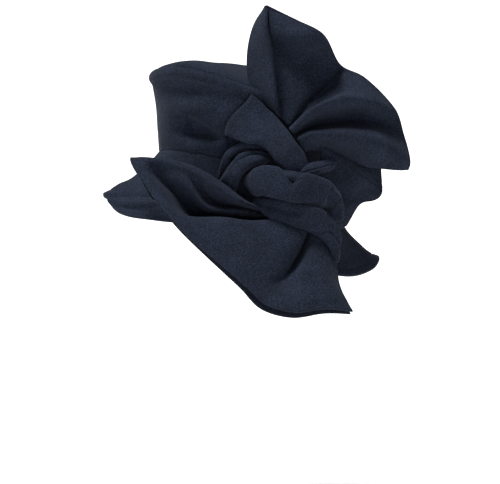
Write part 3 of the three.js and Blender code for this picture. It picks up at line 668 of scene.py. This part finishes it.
# Fan, rib by rib from its rolled left edge over the tip to its lower edge: root, inner, middle, outer,
# ridge and rim, each (across, up, out) from the knot
FAN_RIBS = {
    "left edge": (
        (-0.09, 0.62, -0.1), (-0.29, 0.8, -0.1), (-0.37, 1, -0.14), (-0.37, 1.25, -0.18),
        (-0.3, 1.51, -0.22), (-0.18, 1.71, -0.26),
    ),
    "edge ridge": (
        (-0.06, 0.6, 0), (-0.1, 0.77, 0.06), (-0.125, 0.95, 0.06), (-0.16, 1.2, 0.03),
        (-0.205, 1.47, -0.03), (-0.18, 1.705, -0.2),
    ),
    "inner valley": (
        (-0.04, 0.58, -0.05), (-0.07, 0.77, -0.09), (-0.09, 0.95, -0.13), (-0.12, 1.2, -0.16),
        (-0.16, 1.47, -0.16), (-0.15, 1.7, -0.21),
    ),
    "nodding tip": (
        (-0.01, 0.54, -0.04), (0.02, 0.75, -0.08), (0.05, 0.97, -0.13), (0.08, 1.17, -0.14),
        (0.11, 1.39, 0.04), (0.12, 1.555, -0.05),
    ),
    "tip shoulder": (
        (0.03, 0.5, -0.04), (0.14, 0.71, -0.1), (0.24, 0.91, -0.16), (0.31, 1.11, -0.19),
        (0.35, 1.31, -0.04), (0.39, 1.41, -0.02),
    ),
    "notch": (
        (0.04, 0.47, -0.06), (0.21, 0.65, -0.14), (0.35, 0.82, -0.2), (0.45, 0.96, -0.25),
        (0.52, 1.07, -0.27), (0.56, 1.125, -0.28),
    ),
    "upper slope": (
        (0.05, 0.46, -0.02), (0.28, 0.63, -0.06), (0.46, 0.75, -0.1), (0.61, 0.85, -0.15),
        (0.73, 0.93, -0.2), (0.82, 0.975, -0.26),
    ),
    "upper ridge": (
        (0.06, 0.44, 0.04), (0.26, 0.63, 0.08), (0.49, 0.74, 0.06), (0.73, 0.76, 0), (0.95, 0.72, -0.1),
        (1.11, 0.66, -0.22),
    ),
    "valley": (
        (0.1, 0.4, -0.08), (0.28, 0.48, -0.16), (0.6, 0.56, -0.22), (0.85, 0.56, -0.26),
        (1.05, 0.51, -0.29), (1.2, 0.43, -0.32),
    ),
    "lower ridge": (
        (0.13, 0.35, 0.04), (0.3, 0.415, 0.06), (0.6, 0.405, 0.03), (0.87, 0.36, -0.04),
        (1.09, 0.26, -0.15), (1.26, 0.15, -0.3),
    ),
    "lower edge": (
        (0.2, 0.24, -0.06), (0.42, 0.26, -0.15), (0.61, 0.19, -0.21), (0.81, 0.1, -0.26),
        (1.03, 0.07, -0.31), (1.25, 0.065, -0.36),
    ),
}

# Wing, rib by rib from its upper edge to its lower right corner: root, inner, middle, outer, hollow, ridge
# and rim
WING_RIBS = {
    "upper edge": (
        (-0.13, -0.34, -0.02), (-0.37, -0.26, 0.04), (-0.63, -0.07, 0.07), (-0.95, 0.105, 0.03),
        (-1.21, 0.165, -0.03), (-1.39, 0.18, -0.09), (-1.545, 0.18, -0.17),
    ),
    "edge roll": (
        (-0.14, -0.36, 0.02), (-0.38, -0.29, 0.1), (-0.67, -0.13, 0.13), (-0.97, 0.07, 0.08),
        (-1.24, 0.14, -0.03), (-1.42, 0.155, -0.07), (-1.545, 0.155, -0.15),
    ),
    "upper groove": (
        (-0.14, -0.38, -0.07), (-0.39, -0.32, -0.06), (-0.76, -0.23, -0.07), (-0.98, 0.01, 0.06),
        (-1.27, 0.08, -0.08), (-1.42, 0.09, -0.03), (-1.53, 0.115, -0.12),
    ),
    "second ridge": (
        (-0.14, -0.41, -0.02), (-0.41, -0.365, 0.04), (-0.77, -0.32, 0.05), (-0.98, -0.11, 0.06),
        (-1.22, -0.06, -0.1), (-1.36, -0.01, 0), (-1.495, 0.05, -0.08),
    ),
    "deep valley": (
        (-0.12, -0.43, -0.1), (-0.42, -0.415, -0.1), (-0.73, -0.39, -0.11), (-0.91, -0.34, -0.1),
        (-1.08, -0.24, -0.1), (-1.25, -0.15, 0.04), (-1.4, -0.08, -0.02),
    ),
    "under the lap": (
        (-0.09, -0.47, -0.12), (-0.41, -0.49, -0.13), (-0.7, -0.49, -0.14), (-0.87, -0.46, -0.12),
        (-1.01, -0.39, -0.05), (-1.17, -0.28, 0.1), (-1.34, -0.17, 0.03),
    ),
    "lap edge": (
        (-0.04, -0.45, 0.05), (-0.33, -0.46, 0.11), (-0.61, -0.445, 0.14), (-0.85, -0.44, 0.16),
        (-0.98, -0.425, 0.17), (-1.12, -0.36, 0.16), (-1.27, -0.27, 0.09),
    ),
    "upper swell": (
        (0.05, -0.475, 0.08), (-0.19, -0.52, 0.16), (-0.4, -0.56, 0.2), (-0.59, -0.59, 0.24),
        (-0.73, -0.6, 0.26), (-0.86, -0.6, 0.26), (-0.99, -0.585, 0.22),
    ),
    "lower swell": (
        (0.13, -0.51, 0.08), (-0.01, -0.6, 0.17), (-0.14, -0.69, 0.22), (-0.27, -0.775, 0.26),
        (-0.37, -0.845, 0.29), (-0.47, -0.905, 0.31), (-0.56, -0.955, 0.3),
    ),
    "crease lip": (
        (0.2, -0.54, 0.05), (0.15, -0.65, 0.11), (0.08, -0.77, 0.15), (-0.03, -0.9, 0.19),
        (-0.15, -1.01, 0.25), (-0.27, -1.08, 0.3), (-0.37, -1.125, 0.31),
    ),
    "crease": (
        (0.24, -0.56, -0.05), (0.19, -0.67, -0.05), (0.14, -0.78, -0.02), (0.07, -0.91, 0.06),
        (0, -1.03, 0.16), (-0.09, -1.16, 0.27), (-0.19, -1.285, 0.32),
    ),
    "right swell": (
        (0.29, -0.56, 0.03), (0.27, -0.69, 0.09), (0.25, -0.82, 0.14), (0.22, -0.95, 0.19),
        (0.19, -1.08, 0.25), (0.15, -1.22, 0.32), (0.1, -1.363, 0.34),
    ),
    "right slope": (
        (0.38, -0.63, 0.03), (0.4, -0.76, 0.07), (0.41, -0.89, 0.11), (0.42, -1.01, 0.16),
        (0.42, -1.12, 0.21), (0.42, -1.23, 0.26), (0.4, -1.33, 0.28),
    ),
    "right edge": (
        (0.46, -0.71, -0.04), (0.505, -0.83, -0.02), (0.525, -0.95, 0), (0.54, -1.06, 0.03),
        (0.57, -1.16, 0.07), (0.615, -1.25, 0.11), (0.675, -1.355, 0.16),
    ),
}

# Flap behind the knot, rib by rib downwards: root, middle, rim
FLAP_RIBS = {
    "upper edge": (
        (0.31, 0.33, -0.2), (0.65, 0.2, -0.34), (0.98, 0.08, -0.46),
    ),
    "ridge": (
        (0.35, 0.28, -0.1), (0.65, 0.1, -0.2), (0.985, -0.16, -0.39),
    ),
    "under side": (
        (0.37, -0.15, -0.3), (0.63, -0.17, -0.38), (0.92, -0.23, -0.5),
    ),
    "second ridge": (
        (0.4, -0.3, -0.32), (0.6, -0.33, -0.38), (0.77, -0.28, -0.48),
    ),
    "tuck": (
        (0.42, -0.55, -0.36), (0.52, -0.54, -0.42), (0.62, -0.5, -0.48),
    ),
}


def make_fan():
    grid, _ = ribs_grid(FAN_RIBS, *FAN_STEPS)
    _, end, left, right = border_distance(grid, False)
    nearest = np.minimum(np.minimum(left, right), end)
    lift = waves("fan", grid) * smooth(end / FAN_CALM)
    lift -= turned(grid) * pressed("fan", grid)
    hem = FAN_HEM * smooth(1 - nearest / FAN_HEM_WIDE)
    return cloth("fan_cloth", grid, "fan", WOOL, lift=lift, swell=hem)


def wing_grid():
    return ribs_grid(WING_RIBS, *WING_STEPS)


def make_wing():
    grid, _ = wing_grid()
    _, end, _, _ = border_distance(grid, False)
    lift = waves("wing", grid) * smooth(end / WING_CALM)
    lift -= turned(grid) * pressed("wing", grid)
    hem = WING_HEM * smooth(1 - end / WING_HEM_WIDE)
    return cloth("wing_cloth", grid, "wing", WOOL, lift=lift, swell=hem)


FACING_FROM = 3 / 13  # where along the wing's rim the facing starts, as a share of its ribs
FACING_TAPER = 1.5 / 13  # over what share it narrows to nothing at the right corner
FACING_DEPTH = 0.017
FACING_LAP = 0.0055  # how far it shows past the rim
LAP_CURVE = 0.7  # below 1, the lap keeps its width for longer before it narrows
FACING_GAP = 0.0016
INWARD_FROM = -14  # columns of the wing's grid, counted back from the rim
BEHIND_FROM = -8
FACING_EASE = 11


def make_wing_facing():
    """The wing's under layer, turned in along its rim and showing a little past it"""
    grid, across = wing_grid()
    normal = grid_normals(grid)
    rows = across >= FACING_FROM
    lap = FACING_LAP * smooth((1 - across[rows]) / FACING_TAPER) ** LAP_CURVE
    rim = grid[rows, -1]
    inward = unit(grid[rows, INWARD_FROM] - rim)
    behind = normal[rows, BEHIND_FROM]
    behind = behind * np.where(behind[:, 1:2] > 0, 1, -1)
    share = places(FACING_STEPS, CLOTH / 2, FACING_DEPTH + FACING_LAP)
    depth = share[None, :] * (FACING_DEPTH + lap[:, None]) - lap[:, None]
    base = rim + behind * (CLOTH + FACING_GAP)
    net = base[:, None] + inward[:, None] * depth[..., None]
    net = np.apply_along_axis(ease, 0, net, FACING_EASE)
    # The facing wears the darker wool, painted shade for the gap behind the wing's rim
    return cloth("wing_facing_cloth", net, "wing_facing", FACING_SHADE_WOOL)


def make_back_flap():
    grid, _ = ribs_grid(FLAP_RIBS, *FLAP_STEPS)
    lift = waves("back_flap", grid) - turned(grid) * pressed("back_flap", grid)
    return cloth("back_flap_cloth", grid, "back_flap", WOOL, lift=lift)


# Straps of the knot: across, up, out, width, thickness share, and how far the face turns up in degrees
CENTRE_ROLL = [
    (-0.35, -0.12, -0.06, 0.16, 0.7, 0),
    (-0.28, -0.08, 0.08, 0.27, 1, 4),
    (-0.19, -0.06, 0.15, 0.32, 1.2, 4),
    (-0.02, -0.09, 0.17, 0.31, 1.25, 2),
    (0.15, -0.12, 0.15, 0.31, 1.2, 0),
    (0.31, -0.15, 0.1, 0.29, 1.1, -4),
    (0.43, -0.21, 0.03, 0.26, 1, -6),
    (0.5, -0.31, -0.08, 0.2, 0.9, -4),
    (0.53, -0.45, -0.2, 0.14, 0.8, 0),
]
OVER_STRAP = [
    (-0.465, 0.615, 0.01, 0.49, 0.4, -7),
    (-0.32, 0.52, 0.03, 0.43, 0.6, 8),
    (-0.185, 0.45, 0.045, 0.35, 0.8, 22),
    (-0.07, 0.345, 0.08, 0.29, 0.9, 24),
    (0.01, 0.23, 0.1, 0.28, 0.9, 20),
    (0.09, 0.13, 0.08, 0.26, 0.85, 16),
    (0.16, 0.03, 0.03, 0.2, 0.7, 12),
    (0.21, -0.05, -0.04, 0.14, 0.6, 10),
]
OUTER_LOOP = [
    (-0.66, -0.06, -0.16, 0.05, 0.5, 10),
    (-0.615, 0.09, -0.12, 0.07, 0.7, 10),
    (-0.55, 0.215, -0.07, 0.085, 0.8, 14),
    (-0.43, 0.285, -0.04, 0.08, 0.8, 20),
    (-0.29, 0.29, -0.03, 0.07, 0.8, 22),
    (-0.185, 0.25, -0.04, 0.055, 0.7, 20),
    (-0.1, 0.19, -0.07, 0.04, 0.6, 16),
]
INNER_LOOP = [
    (-0.61, -0.17, -0.1, 0.2, 0.7, 10),
    (-0.565, -0.085, -0.04, 0.2, 0.9, 16),
    (-0.525, 0.01, 0, 0.19, 1, 20),
    (-0.455, 0.1, 0.02, 0.19, 1.05, 24),
    (-0.37, 0.16, 0.03, 0.19, 1, 26),
    (-0.255, 0.185, 0.02, 0.15, 0.9, 22),
    (-0.15, 0.17, -0.01, 0.09, 0.7, 14),
]
LOWER_ROLL = [
    (-0.31, -0.24, -0.04, 0.1, 0.6, 0),
    (-0.22, -0.29, 0.02, 0.15, 0.8, -4),
    (-0.11, -0.33, 0.07, 0.21, 0.95, -6),
    (0.04, -0.37, 0.1, 0.24, 1, -6),
    (0.19, -0.41, 0.12, 0.25, 1, -4),
    (0.32, -0.445, 0.11, 0.24, 1, 0),
    (0.43, -0.51, 0.06, 0.19, 0.9, 0),
    (0.5, -0.6, 0.01, 0.13, 0.8, 0),
    (0.54, -0.71, -0.05, 0.07, 0.7, 0),
]
RIM_FOLD = [
    (0.19, -0.515, 0.03, 0.05, 0.5, 10),
    (0.31, -0.55, 0.07, 0.08, 0.7, 10),
    (0.4, -0.6, 0.08, 0.1, 0.8, 8),
    (0.47, -0.68, 0.05, 0.1, 0.8, 4),
    (0.505, -0.77, 0.01, 0.08, 0.7, 0),
    (0.515, -0.87, -0.03, 0.04, 0.5, 0),
]
LEAF_END = [
    (0.14, 0, 0.08, 0.08, 0.6, 30),
    (0.24, 0.05, 0.06, 0.11, 0.8, 30),
    (0.35, 0.08, 0.01, 0.12, 0.8, 30),
    (0.45, 0.105, -0.04, 0.09, 0.6, 30),
    (0.53, 0.125, -0.08, 0.02, 0.3, 30),
]


STRAP_LENGTH = 0.9 * ARM
END_ROUND = STRAP_THICK / 3
SQUARENESS = 0.62  # 1 is an oval section, and 0 a square one
BAND_BULGE = 0.0036  # how far the band's sewn start stands out
BULGE_LONG = 0.016
BULGE_SKEW = 1.5  # how much more the lower side of a sewn end stands out
CREASE_PAST_SIDE = 0.6  # how far a crease goes on round a strap's sides
WAVE_HEIGHT, WAVE_LENGTH = 0.0006, 0.034
FINE_HEIGHT, FINE_LENGTH = 0.0002, 0.01
FINE_SEED = 50  # added to a strap's seed for its finer waves


def square_off(values):
    return np.sign(values) * np.abs(values) ** SQUARENESS


def strap(node, table, seed, bulge=0):
    """A folded strap of cloth. bulge is how far its first end stands out, where that end is a seam"""
    rows = np.array(table, float)
    along = places(STRAP_STEPS, END_ROUND, STRAP_LENGTH)
    line = through(from_knot(rows[:, :3]), along)
    width, thick, face_up = through(rows[:, 3:], along).T
    direction = unit(np.gradient(line, axis=0))
    tilt = np.radians(face_up)
    face = np.stack([np.zeros_like(tilt), -np.cos(tilt), np.sin(tilt)], -1)
    across = unit(np.cross(face, direction))
    outward = np.cross(direction, across)
    run = np.concatenate([[0], np.cumsum(np.linalg.norm(np.diff(line, axis=0), axis=1))])
    near_end = np.minimum(run, run[-1] - run) / END_ROUND
    taper = np.sqrt(1 - (1 - np.clip(near_end, 0, 1)) ** 2)
    wide_taper = np.where(run < run[-1] / 2, 1, taper) if bulge else taper
    wide_taper[0] = 0
    angle = np.linspace(0, 2 * math.pi, STRAP_SIDES + 1)[:-1]
    sideways, proud = square_off(np.cos(angle)), square_off(np.sin(angle))
    half_width = width * ARM / 2 * wide_taper
    half_thick = thick * STRAP_THICK / 2 * taper
    grid = (
        line[:, None]
        + across[:, None] * (half_width[:, None] * sideways)[..., None]
        + outward[:, None] * (half_thick[:, None] * proud)[..., None]
    )
    across_end = (1 - sideways**2) * (1 - BULGE_SKEW * sideways)
    stand_out = ridge(run, BULGE_LONG)[:, None] * across_end[None, :]
    grid -= direction[:, None] * (bulge * stand_out)[..., None]
    lift = WAVE_HEIGHT * ripple(grid, WAVE_LENGTH, seed)
    lift += FINE_HEIGHT * ripple(grid, FINE_LENGTH, seed + FINE_SEED)
    lift -= pressed(node, grid) * smooth(proud + CREASE_PAST_SIDE)[None, :]
    grid = grid + unit(grid - line[:, None]) * (lift * taper[:, None])[..., None]
    rings, count = grid.shape[:2]
    index = np.arange(rings * count).reshape(rings, count)
    beside = np.roll(index, -1, 1)
    quads = np.stack([index[:-1], beside[:-1], beside[1:], index[1:]], -1)
    keep = slice(1, -1)
    points = grid[keep].reshape(-1, 3)
    faces = quads[keep].reshape(-1, 4) - count
    tips = np.array([line[0], line[-1]])
    first = np.arange(count)
    last = len(points) - count + first
    caps = [[len(points), int(np.roll(first, -1)[k]), int(first[k])] for k in range(count)]
    caps += [[len(points) + 1, int(last[k]), int(np.roll(last, -1)[k])] for k in range(count)]
    points = np.concatenate([points, tips])
    piece = add_mesh(f"{node}_cloth", points, faces.tolist() + caps, node, material=WOOL)


# Each sheet of cloth, built round its CAD node
sheets = {
    "crown_side": make_crown_side(),
    "crown_top": make_crown_top(),
    "brim": make_brim(),
    "fan": make_fan(),
    "wing": make_wing(),
    "wing_facing": make_wing_facing(),
    "back_flap": make_back_flap(),
}

strap("centre_roll", CENTRE_ROLL, 61)
strap("over_strap", OVER_STRAP, 62, bulge=BAND_BULGE)
strap("outer_loop", OUTER_LOOP, 63)
strap("inner_loop", INNER_LOOP, 64)
strap("lower_roll", LOWER_ROLL, 65)
strap("rim_fold", RIM_FOLD, 66)
strap("leaf_end", LEAF_END, 67)


# Floor, light and camera
def stage_material():
    material = bpy.data.materials.new("pale_floor")
    material.use_nodes = True
    shader = material.node_tree.nodes["Principled BSDF"]
    shader.inputs["Base Color"].default_value = (0.95, 0.95, 0.95, 1)
    shader.inputs["Roughness"].default_value = 0.9
    return material


bpy.ops.mesh.primitive_plane_add(size=60, location=(0, 0, -FLOOR_DROP))
floor = bpy.context.object
floor.name = "floor"
floor.data.materials.append(stage_material())

world = bpy.data.worlds.new("studio")
world.use_nodes = True
world.node_tree.nodes["Background"].inputs["Color"].default_value = (0.94, 0.96, 1, 1)
world.node_tree.nodes["Background"].inputs["Strength"].default_value = 0.31
bpy.context.scene.world = world


def look_at(thing, target):
    away = Vector(target) - thing.location
    thing.rotation_euler = away.to_track_quat("-Z", "Y").to_euler()


# Soft daylight from above, left of the camera, in the knot's frame: across, away, up
sun = bpy.data.lights.new("daylight", "SUN")
sun.energy = 5.2
sun.angle = math.radians(16)
sun.color = (1, 0.99, 0.97)
daylight = bpy.data.objects.new("daylight", sun)
daylight.location = to_row @ Vector((-0.6, -0.5, 1.9))
bpy.context.scene.collection.objects.link(daylight)
look_at(daylight, (0, 0, 0))

bpy.context.scene.view_settings.view_transform = "Standard"

lens = bpy.data.cameras.new("camera")
lens.sensor_width = 36
lens.lens = LENS
lens.clip_end = 100
camera = bpy.data.objects.new("camera", lens)
eye = Matrix.Translation((EYE_ACROSS, -EYE_AWAY, EYE_UP))
camera.matrix_world = to_row @ eye @ Matrix.Rotation(math.pi / 2, 4, "X")
bpy.context.scene.collection.objects.link(camera)
bpy.context.scene.camera = camera
